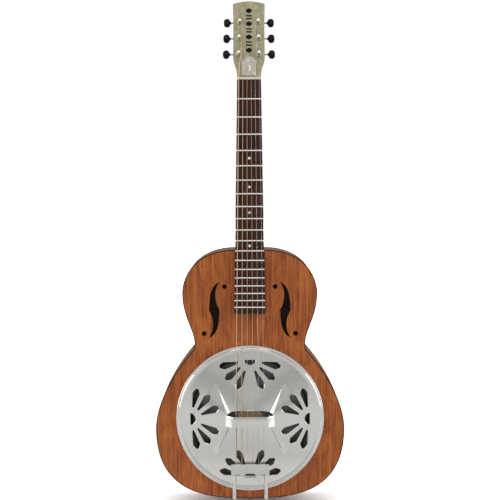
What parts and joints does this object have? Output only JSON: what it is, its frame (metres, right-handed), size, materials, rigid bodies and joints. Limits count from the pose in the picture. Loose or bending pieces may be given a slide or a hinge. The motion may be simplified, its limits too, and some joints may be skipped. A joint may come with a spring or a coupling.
{
  "type": "resonator guitar",
  "caption": "Resonator guitar: wooden body, spun cone under a pierced metal cover plate, long fretted neck and a tilted head with open-geared tuners.",
  "frame": {"origin": "centre of the strap button's outer flat face, at the tail end of the body", "axes": "+Z along the neck from the tail to the head, +Y out of the back of the body (the strings face -Y), +X to the right of someone who looks at the strings"},
  "size_m": [0.358, 0.116, 0.9556],
  "materials": {
    "mahogany": "satin lacquer, open grain",
    "dark_edge": "satin",
    "inner_wood": "raw",
    "maple": "raw",
    "black_mesh": "black woven wire",
    "aluminium": "spun",
    "rosewood": "oiled",
    "bone": "polished",
    "pearloid": "swirled pearl",
    "white_pearloid": "swirled pearl",
    "black_plastic": "polished",
    "bronze_wound": "round wound",
    "plain_steel": "drawn wire",
    "chrome": "bright plate",
    "brass": "machined"
  },
  "bodies": {
    "guitar": {"top_plate": "mahogany", "back_plate": "mahogany", "side_left": "mahogany", "side_right": "mahogany", "top_binding": "dark_edge", "back_binding": "dark_edge", "neck_block": "inner_wood", "tail_block": "inner_wood", "neck_stick": "maple", "soundwell": "inner_wood", "f_hole_screen_left": "black_mesh", "f_hole_screen_right": "black_mesh", "cone": "aluminium", "biscuit": "maple", "biscuit_screw": "chrome", "saddle": "maple", "cover_plate": "chrome", "neck": "mahogany", "headstock_overlay": "pearloid", "fingerboard": "rosewood", "fingerboard_wedge": "rosewood", "nut": "bone", "truss_rod": "aluminium", "truss_rod_cover": "white_pearloid", "tailpiece": "chrome", "strap_button": "chrome", "tuner_plate_left": "chrome", "tuner_plate_right": "chrome", "tuner_ferrule_1": "chrome", "tuner_ferrule_2": "chrome", "tuner_ferrule_3": "chrome", "tuner_ferrule_4": "chrome", "tuner_ferrule_5": "chrome", "tuner_ferrule_6": "chrome", "string_1": "bronze_wound", "string_2": "bronze_wound", "string_3": "bronze_wound", "string_4": "bronze_wound", "string_5": "plain_steel", "string_6": "plain_steel"},
    "tuner_key_1": {"tuner_worm_1": "chrome", "tuner_button_1": "black_plastic"},
    "tuner_post_1": {"tuner_post_1": "chrome"},
    "tuner_key_2": {"tuner_worm_2": "chrome", "tuner_button_2": "black_plastic"},
    "tuner_post_2": {"tuner_post_2": "chrome"},
    "tuner_key_3": {"tuner_worm_3": "chrome", "tuner_button_3": "black_plastic"},
    "tuner_post_3": {"tuner_post_3": "chrome"},
    "tuner_key_4": {"tuner_worm_4": "chrome", "tuner_button_4": "black_plastic"},
    "tuner_post_4": {"tuner_post_4": "chrome"},
    "tuner_key_5": {"tuner_worm_5": "chrome", "tuner_button_5": "black_plastic"},
    "tuner_post_5": {"tuner_post_5": "chrome"},
    "tuner_key_6": {"tuner_worm_6": "chrome", "tuner_button_6": "black_plastic"},
    "tuner_post_6": {"tuner_post_6": "chrome"},
    "truss_nut": {"truss_nut": "brass"}
  },
  "joints": [
    {"name": "tuner_key_1_turn", "type": "hinge", "parent": "guitar", "child": "tuner_key_1", "pos_m": [-0.0189, 0.00095, 0.85558], "axis": [1, 0, 0], "continuous": true},
    {"name": "tuner_key_2_turn", "type": "hinge", "parent": "guitar", "child": "tuner_key_2", "pos_m": [-0.0181, 0.00918, 0.88629], "axis": [1, 0, 0], "continuous": true},
    {"name": "tuner_key_3_turn", "type": "hinge", "parent": "guitar", "child": "tuner_key_3", "pos_m": [-0.0172, 0.01741, 0.91701], "axis": [1, 0, 0], "continuous": true},
    {"name": "tuner_key_4_turn", "type": "hinge", "parent": "guitar", "child": "tuner_key_4", "pos_m": [0.0172, 0.01741, 0.91701], "axis": [1, 0, 0], "continuous": true},
    {"name": "tuner_key_5_turn", "type": "hinge", "parent": "guitar", "child": "tuner_key_5", "pos_m": [0.0181, 0.00918, 0.88629], "axis": [1, 0, 0], "continuous": true},
    {"name": "tuner_key_6_turn", "type": "hinge", "parent": "guitar", "child": "tuner_key_6", "pos_m": [0.0189, 0.00095, 0.85558], "axis": [1, 0, 0], "continuous": true},
    {"name": "tuner_post_1_turn", "type": "hinge", "parent": "guitar", "child": "tuner_post_1", "pos_m": [-0.0189, -0.02074, 0.85383], "axis": [0, -0.9659, 0.2588], "continuous": true},
    {"name": "tuner_post_2_turn", "type": "hinge", "parent": "guitar", "child": "tuner_post_2", "pos_m": [-0.0181, -0.01251, 0.88455], "axis": [0, -0.9659, 0.2588], "continuous": true},
    {"name": "tuner_post_3_turn", "type": "hinge", "parent": "guitar", "child": "tuner_post_3", "pos_m": [-0.0172, -0.00428, 0.91526], "axis": [0, -0.9659, 0.2588], "continuous": true},
    {"name": "tuner_post_4_turn", "type": "hinge", "parent": "guitar", "child": "tuner_post_4", "pos_m": [0.0172, -0.00428, 0.91526], "axis": [0, -0.9659, 0.2588], "continuous": true},
    {"name": "tuner_post_5_turn", "type": "hinge", "parent": "guitar", "child": "tuner_post_5", "pos_m": [0.0181, -0.01251, 0.88455], "axis": [0, -0.9659, 0.2588], "continuous": true},
    {"name": "tuner_post_6_turn", "type": "hinge", "parent": "guitar", "child": "tuner_post_6", "pos_m": [0.0189, -0.02074, 0.85383], "axis": [0, -0.9659, 0.2588], "continuous": true},
    {"name": "truss_nut_turn", "type": "hinge", "parent": "guitar", "child": "truss_nut", "pos_m": [0, -0.02485, 0.8175], "axis": [0, 0, 1], "range_deg": [-180, 180]}
  ],
  "couplings": [
    {"joint": "tuner_post_1_turn", "follows": "tuner_key_1_turn", "ratio": 0.071429},
    {"joint": "tuner_post_2_turn", "follows": "tuner_key_2_turn", "ratio": 0.071429},
    {"joint": "tuner_post_3_turn", "follows": "tuner_key_3_turn", "ratio": 0.071429},
    {"joint": "tuner_post_4_turn", "follows": "tuner_key_4_turn", "ratio": 0.071429},
    {"joint": "tuner_post_5_turn", "follows": "tuner_key_5_turn", "ratio": 0.071429},
    {"joint": "tuner_post_6_turn", "follows": "tuner_key_6_turn", "ratio": 0.071429}
  ]
}
